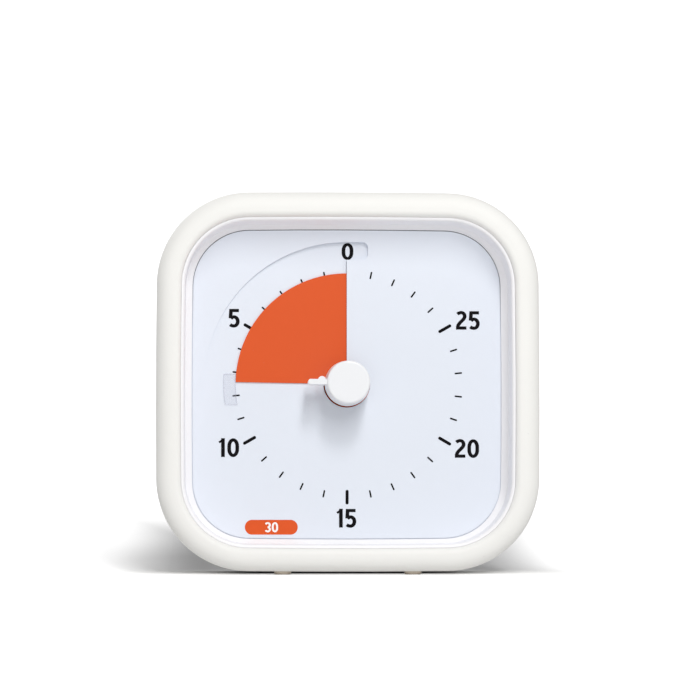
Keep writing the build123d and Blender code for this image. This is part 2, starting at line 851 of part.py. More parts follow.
def rotor_pinion():
    """Moulded rotor shaft with its pinion."""
    body = Pos(0, 0, rotor_leaf_z) * Rot(0, 0, rotor_angle) * pinion(rotor_leaves)
    body += rod(rotor_shaft_radius, case_floor + end_shake, plate_back - end_shake)
    body += rod(pivot_radius, case_floor - pivot_depth, plate_back + pivot_depth)
    return on_axis(Pos(rotor_at[0], rotor_at[1], 0) * body)


def rotor_magnet():
    """Ring magnet on the rotor's shaft."""
    front = magnet_back + magnet_length
    body = rod(magnet_radius, magnet_back, front, rotor_at)
    return on_axis(body - rod(rotor_shaft_radius, magnet_back, front, rotor_at))


def stator():
    """Soft iron plate round the rotor, with two legs that hold the coil's core."""
    back = stator_back
    front = stator_back + stator_thickness
    centre_x = coil_at()[0]
    width = coil_length + 2 * (core_bearing + stator_shoulder)
    ring = magnet_radius + stator_gap
    top = rotor_at[1] + ring + stator_web
    bottom = coil_at()[1] - stator_web
    body = block(width, top - bottom, back, front, (centre_x, (top + bottom) / 2))
    body -= rod(ring, back, front, rotor_at)
    gap_top = rotor_at[1] - ring - stator_web
    gap_height = gap_top - bottom + cut_past
    body -= block(coil_length + 2 * end_shake, gap_height, back, front, (centre_x, gap_top - gap_height / 2))
    return on_axis(body)


def coil_at():
    """Middle of the coil."""
    return (rotor_at[0] + coil_shift, rotor_at[1] - magnet_radius - stator_gap - coil_drop - bobbin_flange)


def along_coil(radius, length):
    """A rod along the coil's own axis, which lies on the stator's legs."""
    x, y = coil_at()
    return Pos(x, y, coil_z) * Rot(0, 90, 0) * Cylinder(radius, length)


def coil_bobbin():
    """Plastic bobbin with a flange at each end and an iron core's bore."""
    body = along_coil(bobbin_radius, coil_length)
    reach = (coil_length - bobbin_flange_thickness) / 2
    for side in (-1, 1):
        body += Pos(side * reach, 0, 0) * along_coil(bobbin_flange, bobbin_flange_thickness)
    return on_axis(body - along_coil(core_radius, coil_length))


def coil_core():
    """Iron core through the bobbin, which bears on the stator's two legs."""
    return on_axis(along_coil(core_radius, coil_length + 2 * core_bearing))


def coil_winding():
    """Copper winding between the bobbin's flanges."""
    winding = along_coil(coil_radius, coil_length - 2 * bobbin_flange_thickness)
    return on_axis(winding - along_coil(bobbin_radius, coil_length))


def movement_outline():
    """Square of the movement's case with rounded corners."""
    return RectangleRounded(case_size, case_size, case_round)


def movement_case():
    """Rear box of the movement, with a seat for each pivot and posts for the lid's screws."""
    body = slab(movement_outline(), movement_back, plate_back)
    inner_size = case_size - 2 * case_wall
    inner = RectangleRounded(inner_size, inner_size, case_round - case_wall)
    body -= slab(inner, case_floor, plate_back)
    inside = slab(movement_outline(), case_floor, plate_back)
    posts = Part() + [rod(lid_post_radius, case_floor, plate_back, at) for at in lid_screws_at]
    body += posts & inside
    seat = case_floor - pivot_depth - end_shake
    body -= [rod(pivot_radius + running_gap, seat, case_floor, at) for at in pivots_at]
    body -= rod(2 * pivot_radius + running_gap, seat, case_floor)
    body -= tapped(plate_back, -1, lid_screws_at)
    leg_reach = (coil_length + core_bearing) / 2
    for side in (-1, 1):
        leg_at = step_from(coil_at(), side * leg_reach, 0)
        body += rod(coil_post_radius, case_floor, stator_back, leg_at)
    return on_axis(body)


def movement_plate():
    """Lid of the movement, with four ears that are screwed to the dial's posts."""
    shape = movement_outline()
    ears = [Pos(x, y) * Circle(ear_radius) for x, y in dial_posts_at]
    arms = [Rectangle(2 * dial_post_reach, 2 * ear_radius), Rectangle(2 * ear_radius, 2 * dial_post_reach)]
    body = slab(shape + ears + arms, plate_back, movement_top)
    body -= rod(bush_radius, plate_back, movement_top)
    screws_at = dial_posts_at + lid_screws_at
    body -= [rod(small_screw_radius + screw_clearance, plate_back, movement_top, at) for at in screws_at]
    seat = plate_back + pivot_depth + end_shake
    body -= [rod(pivot_radius + running_gap, plate_back, seat, at) for at in pivots_at]
    return on_axis(body)


def centre_bush():
    """Brass bush in the lid that the shaft turns in."""
    body = rod(bush_radius, plate_back, movement_top)
    return on_axis(body - rod(arbor_radius + running_gap, plate_back, movement_top))


def lid_screws():
    """Screws that close the movement."""
    return on_axis(small_screws(movement_top, plate_back - small_bite, lid_screws_at))


def dial_screws():
    """Screws through the lid's ears into the dial's posts."""
    return on_axis(small_screws(plate_back, movement_top + small_bite, dial_posts_at))


# ---- Battery ----------------------------------------------------------------------------------

def bay_end(side):
    """x of the bay's end wall."""
    return side * bay_length / 2


def along_cell(shape, x):
    """Lays a rod that stands on its base down along the cell's axis, from x to the right."""
    return Pos(x, -cell_drop, cell_z) * Rot(0, 90, 0) * shape


def battery_cell():
    """AA cell with its contact nub to the right."""
    start = bay_end(-1) + spring_space
    body_length = cell_length - cell_nub_length
    can = Cylinder(cell_radius, body_length, align=STAND)
    can = fillet(can.edges().filter_by(GeomType.CIRCLE), cell_round)
    nub = Cylinder(cell_nub_radius, cell_length, align=STAND)
    return along_cell(can + nub, start)


def positive_contact():
    """Plated strip at the bay's right end, with a pip that meets the cell's nub."""
    plate = Box(cell_radius, contact_width, contact_thickness, align=STAND)
    pip = Rot(180, 0, 0) * Cone(pip_radius, pip_tip_radius, contact_space - contact_thickness, align=STAND)
    return along_cell(plate + pip, bay_end(1) - contact_thickness)


def negative_spring():
    """Plated strip and coiled spring at the bay's left end."""
    plate = Box(cell_radius, contact_width, contact_thickness, align=STAND)
    length = spring_space - contact_thickness - 2 * spring_wire_radius
    path = Helix(length / spring_turns, length, spring_radius, cone_angle=spring_taper)
    start = path @ 0
    wire = sweep(Plane(origin=start, z_dir=path % 0) * Circle(spring_wire_radius), path, is_frenet=True)
    coil = Pos(0, 0, contact_thickness + spring_wire_radius * spring_sink) * wire
    return along_cell(plate + coil, bay_end(-1))


def battery_door():
    """Door that swings out on two small pins along its rounded lower edge."""
    centre = (0, -cell_drop)
    body = block(door_width, door_height, housing_back, door_inner, centre)
    lower = body.edges().filter_by(Axis.X).group_by(Axis.Y)[0]
    body = fillet(lower, door_thickness / 2 - round_short)
    upper_y = -cell_drop + door_height / 2
    for i in range(ridge_count):
        ridge = Rot(0, 90, 0) * Cylinder(ridge_radius, ridge_length - ridge_step * i)
        body += Pos(0, upper_y - ridge_inset - ridge_pitch * i, housing_back) * ridge
    pins = Cylinder(door_pin_radius, door_width + 2 * door_pin_length)
    body += Pos(0, door_axis_y, door_axis_z) * Rot(0, 90, 0) * pins
    rib = block(bay_length - 2 * door_inset, door_rib_width, door_inner, door_inner + door_rib_height, centre)
    return body + rib


# ---- Sound ------------------------------------------------------------------------------------

def speaker():
    """Round speaker with a stepped magnet behind its cone."""
    step = back_inner + speaker_thickness * speaker_step_share
    basket = rod(speaker_radius, back_inner, step, speaker_at)
    magnet_end = back_inner + speaker_thickness
    return basket + rod(speaker_radius * speaker_magnet_share, back_inner, magnet_end, speaker_at)


def circuit_board():
    """Board that carries the timing parts and the volume control."""
    shape = Pos(volume_x + board_shift, sound_y) * RectangleRounded(board_width, board_height, board_round)
    body = slab(shape, board_back, board_front)
    hole_radius = small_screw_radius + screw_clearance
    return body - [rod(hole_radius, board_back, board_front, at) for at in board_posts_at]


def board_screws():
    """Screws that hold the board on its posts."""
    return small_screws(board_front, board_back - small_bite, board_posts_at)


def timing_chip():
    """Moulded chip on the board's front, with a row of legs down each side."""
    x = volume_x + chip_shift_x
    y = sound_y + chip_shift_y
    body = block(chip_width, chip_length, board_front + chip_lift, board_front + chip_height, (x, y))
    body = chamfer(body.faces().sort_by(Axis.Z)[-1].edges(), chip_chamfer)
    for i in range(leg_count):
        leg_y = y + (i - (leg_count - 1) / 2) * leg_pitch
        body += block(leg_span, leg_width, board_front, board_front + leg_height, (x, leg_y))
    return body


def quartz_crystal():
    """Small metal can that keeps the time, lying on the board."""
    can = Cylinder(crystal_radius, crystal_length)
    can = fillet(can.edges().filter_by(GeomType.CIRCLE), crystal_round)
    place = Pos(volume_x + crystal_shift_x, sound_y + crystal_shift_y, board_front + crystal_radius)
    return place * Rot(0, 90, 0) * can


def volume_pot():
    """Body of the rotary volume control, soldered to the board's back."""
    pot_back = board_back - pot_depth
    body = block(pot_size, pot_size, pot_back, board_back, volume_at)
    body = fillet(body.edges().filter_by(Axis.Z), pot_round)
    return body - rod(volume_shaft_radius + running_gap, pot_back, board_back - pot_wall, volume_at)


def volume_dial():
    """Recessed dial with a grip bar across it and fine notches round its rim."""
    front = housing_back + volume_thickness
    body = rod(volume_radius, housing_back, front, volume_at)
    for i in range(volume_notches):
        spot = step_from(volume_at, volume_radius + notch_reach, 360 * i / volume_notches)
        body -= rod(notch_radius, housing_back, front, spot)
    bar_length = 2 * (volume_radius - bar_inset)
    bar = block(volume_bar_width, bar_length, housing_back - volume_bar_height, housing_back, volume_at)
    bar = fillet(bar.edges().filter_by(Axis.Z), volume_bar_width * bar_tip_share)
    bar = fillet(bar.faces().sort_by(Axis.Z)[0].edges(), volume_bar_height * bar_round_share)
    hub_end = board_back - pot_depth - hub_gap
    body += bar + rod(volume_hub_radius, front, hub_end, volume_at)
    return body - rod(volume_shaft_radius, front, hub_end, volume_at)


def volume_shaft():
    """Metal shaft that joins the volume dial to its control."""
    front = housing_back + volume_thickness
    return rod(volume_shaft_radius, front, board_back - pot_wall - shaft_end_gap, volume_at)


def housing_screws():
    """Screws through the rear half's posts into the front half."""
    tip = parting_z + screw_bite
    seat = housing_back + screw_head_height
    made = [screw(screw_radius, screw_head_radius, screw_head_height, tip, seat, at) for at in case_screws_at]
    return Compound(children=made)


# ---- Written out ------------------------------------------------------------------------------

PIECES = [
    silicone_cover, rubber_feet, front_housing, rear_housing, dial_plate, timer_disc, disc_tab,
    disc_sleeve, knob, arbor, clutch_spring, clutch_collar, centre_wheel, second_wheel, first_wheel,
    rotor_pinion, rotor_magnet, stator, coil_bobbin, coil_core, coil_winding, movement_case,
    movement_plate, centre_bush, lid_screws, dial_screws, battery_cell, positive_contact,
    negative_spring, battery_door, speaker, circuit_board, board_screws, timing_chip,
    quartz_crystal, volume_pot, volume_dial, volume_shaft, housing_screws,
]

stand_up = Plane(origin=(0, 0, case_centre), x_dir=(1, 0, 0), z_dir=(0, -1, 0)).location

os.makedirs("parts", exist_ok=True)
for piece in PIECES:
    export_step(stand_up * piece(), f"parts/{piece.__name__}.step")

print("screw pitch", round(screw_pitch, 4), "slide per radian", round(screw_pitch / (2 * pi), 5))
print("knob axis height", round(case_centre - dial_drop, 3))
print("door axis", round(case_centre + door_axis_y, 3), round(-door_axis_z, 3))
for name, at in (("second", second_at), ("first", first_at), ("rotor", rotor_at)):
    print(name, round(at[0], 4), round(case_centre - dial_drop + at[1], 4))
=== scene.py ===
# %% [markdown]
# # A countdown timer in a soft sleeve
# The rigid parts, the disc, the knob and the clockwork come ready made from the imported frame. Here they get
# their finishes, the dial gets its printing, and the whole is set on a pale table under soft light.
# Lengths are written in millimetres and multiplied by `MM`, because the frame is in metres.

# %% Load the frame
import bpy
import json
from math import atan2, cos, pi, radians, sin
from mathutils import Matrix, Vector


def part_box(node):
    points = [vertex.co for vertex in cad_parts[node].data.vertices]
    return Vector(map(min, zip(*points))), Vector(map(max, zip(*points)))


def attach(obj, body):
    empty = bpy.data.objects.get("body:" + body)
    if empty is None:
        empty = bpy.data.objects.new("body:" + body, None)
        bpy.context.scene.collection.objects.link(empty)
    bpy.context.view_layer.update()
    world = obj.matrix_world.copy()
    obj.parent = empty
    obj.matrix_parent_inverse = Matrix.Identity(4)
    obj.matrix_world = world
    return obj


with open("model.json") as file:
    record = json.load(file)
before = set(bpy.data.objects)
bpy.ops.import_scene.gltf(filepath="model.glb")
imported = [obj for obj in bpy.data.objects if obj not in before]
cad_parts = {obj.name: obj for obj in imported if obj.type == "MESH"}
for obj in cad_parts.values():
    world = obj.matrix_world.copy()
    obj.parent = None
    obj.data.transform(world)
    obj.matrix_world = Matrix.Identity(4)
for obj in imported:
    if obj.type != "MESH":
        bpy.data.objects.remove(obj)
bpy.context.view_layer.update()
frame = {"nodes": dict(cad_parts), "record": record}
MM = 0.001
print("pieces loaded:", len(frame["nodes"]))

# %% [markdown]
# ## Camera
# A long lens a little left of the dial's middle and just above table height. The long lens keeps the case
# nearly square, and the low, left stand shows a sliver of the bezel's right and upper walls.

# %% Camera
CAMERA_AT = (-28.69 * MM, -728.3 * MM, 14.16 * MM)
CAMERA_UP = radians(3.097)
CAMERA_RIGHT = radians(2.321)
SENSOR_WIDTH = 36
LENS = 157.98
NEAR_CLIP = 0.01
bpy.ops.object.camera_add(location=CAMERA_AT, rotation=(pi / 2 + CAMERA_UP, 0, -CAMERA_RIGHT))
camera = bpy.context.object
camera.name = "studio_camera"
camera.data.sensor_width = SENSOR_WIDTH
camera.data.lens = LENS
camera.data.clip_start = NEAR_CLIP
bpy.context.scene.camera = camera
bpy.context.scene.view_settings.view_transform = "Standard"
print("camera lens:", camera.data.lens)

# %% [markdown]
# ## Shader groups
# Three effects turn up on nearly every material, so each is a node group with its own inputs.
# **Tone drift** moves a colour slightly lighter and darker over a few millimetres, as moulded and printed
# things do. **Spark texture** is the fine pebbled skin that a mould leaves: it gives a height and a
# roughness. **Dust** is a sparse scatter of fine specks, in patches.

# %% Helpers for node trees
def colour(red, green, blue):
    """Screen colour from 0 to 255 as the linear colour that nodes use."""
    out = []
    for value in (red, green, blue):
        share = value / 255
        out.append(share / 12.92 if share <= 0.04045 else ((share + 0.055) / 1.055) ** 2.4)
    return (*out, 1.0)


def new_group(name, inputs, outputs):
    """Empty shader group with its sockets: each is a name, a kind and a default."""
    group = bpy.data.node_groups.new(name, "ShaderNodeTree")
    for label, kind, default in inputs:
        socket = group.interface.new_socket(label, in_out="INPUT", socket_type=kind)
        socket.default_value = default
    for label, kind in outputs:
        group.interface.new_socket(label, in_out="OUTPUT", socket_type=kind)
    entry = group.nodes.new("NodeGroupInput")
    leave = group.nodes.new("NodeGroupOutput")
    return group, entry, leave


def add_node(tree, kind, **settings):
    """New node with its settings: names that start with a capital are input sockets."""
    node = tree.nodes.new(kind)
    for name, value in settings.items():
        label = name.replace("_", " ")
        if label[0].isupper():
            node.inputs[label].default_value = value
        else:
            setattr(node, name, value)
    return node


# %% Helpers that wire nodes
def feed(tree, value, socket):
    """Gives an input its value: an output is linked to it, and a number, vector or colour is set on it."""
    if isinstance(value, bpy.types.NodeSocket):
        tree.links.new(value, socket)
    else:
        socket.default_value = value


def maths(tree, operation, *values):
    """Output of a Math node on one to three values."""
    node = add_node(tree, "ShaderNodeMath", operation=operation)
    for number, value in enumerate(values):
        feed(tree, value, node.inputs[number])
    return node.outputs[0]


def object_place(tree):
    """Place on the object, in metres."""
    return add_node(tree, "ShaderNodeTexCoord").outputs["Object"]


# %% Tone drift group
NUMBER = "NodeSocketFloat"
COLOUR = "NodeSocketColor"
NOISE_MIDDLE = 0.5
tone_drift, entry, leave = new_group(
    "tone_drift",
    [("Colour", COLOUR, (1, 1, 1, 1)), ("Scale", NUMBER, 60.0), ("Amount", NUMBER, 0.03)],
    [("Colour", COLOUR)],
)
given = entry.outputs
clouds = add_node(tone_drift, "ShaderNodeTexNoise", Detail=4.0, Roughness=0.55)
feed(tone_drift, object_place(tone_drift), clouds.inputs["Vector"])
feed(tone_drift, given["Scale"], clouds.inputs["Scale"])
off_middle = maths(tone_drift, "SUBTRACT", clouds.outputs["Fac"], NOISE_MIDDLE)
strength = maths(tone_drift, "MULTIPLY_ADD", off_middle, given["Amount"], 1.0)
tint = add_node(tone_drift, "ShaderNodeVectorMath", operation="SCALE")
feed(tone_drift, given["Colour"], tint.inputs[0])
feed(tone_drift, strength, tint.inputs["Scale"])
feed(tone_drift, tint.outputs["Vector"], leave.inputs["Colour"])
print("group:", tone_drift.name)

# %% Spark texture group
spark_texture, entry, leave = new_group(
    "spark_texture",
    [("Scale", NUMBER, 2500.0), ("Roughness", NUMBER, 0.5), ("Variation", NUMBER, 0.1)],
    [("Height", NUMBER), ("Roughness", NUMBER)],
)
given = entry.outputs
place = object_place(spark_texture)
pebbles = add_node(spark_texture, "ShaderNodeTexVoronoi", feature="SMOOTH_F1", Smoothness=0.6)
haze = add_node(spark_texture, "ShaderNodeTexNoise", Scale=180.0, Detail=3.0)
feed(spark_texture, place, pebbles.inputs["Vector"])
feed(spark_texture, place, haze.inputs["Vector"])
feed(spark_texture, given["Scale"], pebbles.inputs["Scale"])
off_middle = maths(spark_texture, "SUBTRACT", haze.outputs["Fac"], NOISE_MIDDLE)
rough = maths(spark_texture, "MULTIPLY_ADD", off_middle, given["Variation"], given["Roughness"])
feed(spark_texture, pebbles.outputs["Distance"], leave.inputs["Height"])
feed(spark_texture, rough, leave.inputs["Roughness"])
print("group:", spark_texture.name)

# %% Helpers for masks
# The Mix node has a set of sockets for each kind of data, and these are its colour ones.
MIX_FIRST = 6
MIX_SECOND = 7
MIX_RESULT = 2


def spread(tree, value, span, reach, kind="LINEAR"):
    """Output that goes from reach[0] to reach[1] while the value goes from span[0] to span[1]."""
    node = add_node(tree, "ShaderNodeMapRange", interpolation_type=kind)
    labels = ("Value", "From Min", "From Max", "To Min", "To Max")
    for label, number in zip(labels, (value, *span, *reach)):
        feed(tree, number, node.inputs[label])
    return node.outputs["Result"]


def mix_colour(tree, factor, first, second):
    """Output that goes from the first colour to the second while the factor goes from 0 to 1."""
    node = add_node(tree, "ShaderNodeMix", data_type="RGBA")
    feed(tree, factor, node.inputs["Factor"])
    feed(tree, first, node.inputs[MIX_FIRST])
    feed(tree, second, node.inputs[MIX_SECOND])
    return node.outputs[MIX_RESULT]


# %% Dust group
SPECK_SIZE = 0.055
PATCH_EDGE = (0.52, 0.72)
DUST_COLOUR = colour(176, 172, 166)
dust, entry, leave = new_group(
    "dust",
    [("Colour", COLOUR, (1, 1, 1, 1)), ("Dust colour", COLOUR, DUST_COLOUR), ("Amount", NUMBER, 0.3)],
    [("Colour", COLOUR)],
)
given = entry.outputs
place = object_place(dust)
specks = add_node(dust, "ShaderNodeTexVoronoi", Scale=420.0, Randomness=1.0)
patches = add_node(dust, "ShaderNodeTexNoise", Scale=75.0, Detail=2.0)
feed(dust, place, specks.inputs["Vector"])
feed(dust, place, patches.inputs["Vector"])
in_speck = maths(dust, "LESS_THAN", specks.outputs["Distance"], SPECK_SIZE)
in_patch = spread(dust, patches.outputs["Fac"], PATCH_EDGE, (0, 1))
amount = maths(dust, "MULTIPLY", maths(dust, "MULTIPLY", in_speck, in_patch), given["Amount"])
feed(dust, mix_colour(dust, amount, given["Colour"], given["Dust colour"]), leave.inputs["Colour"])
print("group:", dust.name)

# %% [markdown]
# ## Materials
# `finish` builds one material: its colour goes through tone drift and dust into Base Color, and the spark
# texture feeds Roughness and a Bump. What is the same all over, such as metal or clear, is set straight on
# the shader, where the export can read it.

# %% One material builder
TONE_SCALE = 55.0
BUMP_HEIGHT = 0.1 * MM


def place_group(tree, group, **values):
    """The group as a node in a material, with its inputs set by name."""
    node = tree.nodes.new("ShaderNodeGroup")
    node.node_tree = group
    for name, value in values.items():
        node.inputs[name.replace("_", " ")].default_value = value
    return node


def finish(name, base, rough=0.5, grain=2500.0, bump=0.05, vary=0.08, drift=0.03, dusty=0.2, **shader):
    """Procedural material with drifting tone, fine mould texture and a little dust."""
    material = bpy.data.materials.new(name)
    material.use_nodes = True
    tree = material.node_tree
    principled = tree.nodes["Principled BSDF"]
    tone = place_group(tree, tone_drift, Colour=base, Scale=TONE_SCALE, Amount=drift)
    specks = place_group(tree, dust, Amount=dusty)
    skin = place_group(tree, spark_texture, Scale=grain, Roughness=rough, Variation=vary)
    raise_skin = add_node(tree, "ShaderNodeBump", Strength=bump, Distance=BUMP_HEIGHT)
    feed(tree, tone.outputs["Colour"], specks.inputs["Colour"])
    feed(tree, specks.outputs["Colour"], principled.inputs["Base Color"])
    feed(tree, skin.outputs["Roughness"], principled.inputs["Roughness"])
    feed(tree, skin.outputs["Height"], raise_skin.inputs["Height"])
    feed(tree, raise_skin.outputs["Normal"], principled.inputs["Normal"])
    for label, value in shader.items():
        principled.inputs[label.replace("_", " ")].default_value = value
    material.diffuse_color = base
    return material


# %% Finishes of the outside
FINISHES = {
    "silicone": finish("matt_silicone", colour(246, 245, 241), rough=0.62, grain=1800.0, bump=0.10, vary=0.10,
                       drift=0.02, dusty=0.35, Sheen_Weight=0.22, Sheen_Roughness=0.5, IOR=1.41),
    "foot_rubber": finish("tan_rubber", colour(206, 194, 178), rough=0.75, grain=1500.0, bump=0.15, vary=0.10,
                          drift=0.08, dusty=0.4),
    "housing_white": finish("satin_housing", colour(249, 248, 250), rough=0.42, grain=3000.0),
    "dial_white": finish("dial_moulding", colour(228, 233, 242), rough=0.55, grain=3200.0, bump=0.03,
                         vary=0.06, drift=0.012, dusty=0.06),
    "disc_orange": finish("orange_film", colour(221, 84, 22), rough=0.5, grain=1200.0, bump=0.02, vary=0.06,
                          drift=0.04, dusty=0.05, Specular_IOR_Level=0.3),
    "knob_white": finish("gloss_knob", colour(242, 243, 245), rough=0.3, grain=2600.0, bump=0.02,
                         drift=0.01, dusty=0.1),
}
print("outside finishes:", len(FINISHES))

# %% Finishes of the inside
FINISHES.update({
    "natural_plastic": finish("natural_acetal", colour(231, 228, 216), rough=0.4, grain=2400.0, bump=0.03),
    "movement_grey": finish("movement_moulding", colour(74, 75, 79), rough=0.45, grain=2600.0, bump=0.06),
    "board_green": finish("board_lacquer", colour(38, 110, 66), rough=0.3, grain=900.0, bump=0.03),
    "black_plastic": finish("black_moulding", colour(32, 32, 34), rough=0.4, grain=3000.0),
    "cell_wrap": finish("cell_wrap", colour(48, 49, 54), rough=0.28, grain=400.0, bump=0.01),
})
print("finishes so far:", len(FINISHES))

# %% [markdown]
# ## Clear film
# The tab on the disc's edge is a clip of clear film. Its body hardly shows, and its cut edges catch the light
# as thin grey lines. Both come from one Alpha: low all over, and high where the distance from the dial's
# middle, or the height, is close to the film's own edge.

# %% Helpers for places
def vector_maths(tree, operation, *values):
    """Output of a Vector Math node on one or two vectors. It is a number for LENGTH."""
    node = add_node(tree, "ShaderNodeVectorMath", operation=operation)
    for number, value in enumerate(values):
        feed(tree, value, node.inputs[number])
    return node.outputs["Value" if operation == "LENGTH" else "Vector"]


def axes_of(tree, vector):
    """The outputs X, Y and Z of a vector."""
    node = add_node(tree, "ShaderNodeSeparateXYZ")
    feed(tree, vector, node.inputs[0])
    return node.outputs


def place_from(tree, middle):
    """Place from a middle, as outputs X, Y and Z, and the distance from it seen from the front."""
    offset = vector_maths(tree, "SUBTRACT", object_place(tree), middle)
    flat = vector_maths(tree, "MULTIPLY", offset, (1, 0, 1))
    return axes_of(tree, offset), vector_maths(tree, "LENGTH", flat)


# %% Clear film
FILM_ALPHA = 0.06
FILM_EDGE_ALPHA = 0.24
FILM_EDGE = 0.16 * MM


def edge_mask(tree, value, middle, half_width):
    """1 where a value lies on the edge of a band, given by its middle and half its width, and 0 inside."""
    away = maths(tree, "ABSOLUTE", maths(tree, "SUBTRACT", value, middle))
    return maths(tree, "GREATER_THAN", away, half_width - FILM_EDGE)


film = finish("clear_film", colour(196, 198, 214), rough=0.18, grain=1200.0, bump=0.01, vary=0.05,
              drift=0.01, dusty=0.05, IOR=1.49)
tree = film.node_tree
film_low, film_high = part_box("disc_tab")
disc_low, disc_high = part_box("timer_disc")
disc_edge = (disc_high[2] - disc_low[2]) / 2
disc_middle = (disc_low[2] + disc_high[2]) / 2
film_reach = -film_low[0]
film_middle = (film_low[2] + film_high[2]) / 2 - disc_middle
axes, distance = place_from(tree, (0, 0, disc_middle))
round_edge = edge_mask(tree, distance, (disc_edge + film_reach) / 2, (film_reach - disc_edge) / 2)
straight_edge = edge_mask(tree, axes["Z"], film_middle, (film_high[2] - film_low[2]) / 2)
on_edge = maths(tree, "MAXIMUM", round_edge, straight_edge)
alpha = spread(tree, on_edge, (0, 1), (FILM_ALPHA, FILM_EDGE_ALPHA))
feed(tree, alpha, tree.nodes["Principled BSDF"].inputs["Alpha"])
FINISHES["clear_film"] = film
print("film from", round(disc_edge / MM, 2), "to", round(film_reach / MM, 2), "mm")

# %% [markdown]
# ## Metals
# Bare metal is the same shader with Metallic at 1. What tells steel, brass and plating apart is the tint
# and the roughness. The skin is the same fine haze on all of them.

# %% Metal finishes
METALS = {
    "steel": (colour(176, 176, 178), 0.28),
    "brass": (colour(206, 170, 98), 0.3),
    "magnet": (colour(62, 62, 66), 0.55),
    "soft_iron": (colour(140, 138, 135), 0.45),
    "copper_wire": (colour(178, 98, 52), 0.38),
    "plated_steel": (colour(205, 204, 198), 0.22),
}
for name, (metal_tint, metal_rough) in METALS.items():
    FINISHES[name] = finish("metal_" + name, metal_tint, rough=metal_rough, grain=900.0, bump=0.04, vary=0.12,
                            drift=0.06, dusty=0.1, Metallic=1.0)
print("metals:", len(METALS))

# %% Put each finish on its pieces
slots = {entry["node"]: entry["material_slot"] for entry in frame["record"]["subparts"]}
for name, piece in frame["nodes"].items():
    piece.data.materials.clear()
    piece.data.materials.append(FINISHES[slots[name]])
print("finished pieces:", len(slots))

# %% [markdown]
# ## The printed scale
# The minutes are pad printed on the dial, and some of the marks run over the sunk ramp. Each is a paper-thin
# face. It is drawn flat in front of the dial and then laid on it by a Shrinkwrap modifier that projects
# along Y, so a mark over the ramp follows the ramp.

# %% Dial measures and ink
DIAL_Y = -13.5 * MM
DIAL_Z = 44.4 * MM
DRAW_Y = DIAL_Y - 1 * MM
INK_LIFT = 0.03 * MM
dial = frame["nodes"]["dial_plate"]
ink = finish("dial_ink", colour(15, 13, 16), rough=0.6, grain=2600.0, bump=0.02, vary=0.05, dusty=0.03,
             Specular_IOR_Level=0.06)
print("ink:", ink.name)


# %% Helpers for one piece
def deselect_all():
    """Nothing selected, so that an operator acts only on what comes next."""
    if bpy.context.object and bpy.context.object.mode != "OBJECT":
        bpy.ops.object.mode_set(mode="OBJECT")
    bpy.ops.object.select_all(action="DESELECT")


def only(piece):
    """Selects one piece and makes it active."""
    deselect_all()
    piece.select_set(True)
    bpy.context.view_layer.objects.active = piece


def settle(piece):
    """Moves the piece's place into its mesh, so that its object sits at the origin."""
    only(piece)
    bpy.ops.object.transform_apply(location=True, rotation=True, scale=True)


def copy_of(piece):
    """A copy that has a mesh of its own."""
    only(piece)
    bpy.ops.object.duplicate(linked=False)
    return bpy.context.object


def put_away(pieces):
    """Deletes patterns that have been copied."""
    deselect_all()
    for piece in pieces:
        piece.select_set(True)
    bpy.ops.object.delete()


deselect_all()


# %% Helpers for print
def lay_on(piece, target, lift):
    """Projects a flat piece along Y on to a surface and holds it just above it."""
    only(piece)
    wrap = piece.modifiers.new("lay", "SHRINKWRAP")
    wrap.target = target
    wrap.wrap_method = "PROJECT"
    wrap.wrap_mode = "ABOVE_SURFACE"
    wrap.use_project_y = True
    wrap.use_negative_direction = False
    wrap.use_positive_direction = True
    wrap.offset = lift
    bpy.ops.object.modifier_apply(modifier=wrap.name)


def round_bar(size, x, z, share, segments):
    """A flat bar in front of the dial. Its corners are bevelled by a share of its narrow side."""
    bpy.ops.mesh.primitive_plane_add(size=1, location=(x, DRAW_Y, z), rotation=(pi / 2, 0, 0))
    piece = bpy.context.object
    piece.scale = (size[0] * MM, size[1] * MM, 1)
    bpy.ops.object.transform_apply(location=False, rotation=False, scale=True)
    bpy.ops.object.mode_set(mode="EDIT")
    bpy.ops.mesh.select_all(action="SELECT")
    bpy.ops.mesh.bevel(offset=min(size) * MM * share, segments=segments, affect="VERTICES")
    bpy.ops.object.mode_set(mode="OBJECT")
    settle(piece)
    return piece


def printed(piece, name, material):
    """Gives a mark its ink and its name, and fixes it to the case."""
    piece.name = name
    piece.data.materials.clear()
    piece.data.materials.append(material)
    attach(piece, "case")
    return piece


# %% [markdown]
# ## Painted shade in the seam round the dial
# The dial's field stands in the housing's window with a narrow seam round it, and the floor of that seam
# lies a little behind the field. Hardly any light gets into its upper part, so a dark line of painted shade
# is put into the dial's colour there, deepest at the top. It is found by its depth and by its distance from
# the dial's middle.

# %% Painted shade in the seam
SEAM_BEHIND = 0.2 * MM
SEAM_OUT = 34.5 * MM
SEAM_RISE = (12 * MM, 33 * MM)
SEAM_SHADE = 0.8
SEAM_SHADE_COLOUR = colour(58, 58, 64)
tree = FINISHES["dial_white"].node_tree
base_colour = tree.nodes["Principled BSDF"].inputs["Base Color"]
unshaded_dial_colour = base_colour.links[0].from_socket
axes, distance = place_from(tree, (0, DIAL_Y, DIAL_Z))
outside = maths(tree, "GREATER_THAN", distance, SEAM_OUT)
sunk = maths(tree, "GREATER_THAN", axes["Y"], SEAM_BEHIND)
# Painted shade: the seam grows darker towards its top, where the rim above cuts off the light.
risen = spread(tree, axes["Z"], SEAM_RISE, (0, SEAM_SHADE))
amount = maths(tree, "MULTIPLY", maths(tree, "MULTIPLY", outside, sunk), risen)
feed(tree, mix_colour(tree, amount, unshaded_dial_colour, SEAM_SHADE_COLOUR), base_colour)
print("seam shade above", SEAM_RISE[0] / MM, "mm")

# %% [markdown]
# ## Ticks
# One tick is a narrow plate whose corners are bevelled right off, so that it ends round. A small and a large
# one are modelled at twelve o'clock. Each minute gets a copy of one of them, turned round the dial by
# `transform.rotate` and laid on it. There is none at zero, where the numeral stands over the slit.

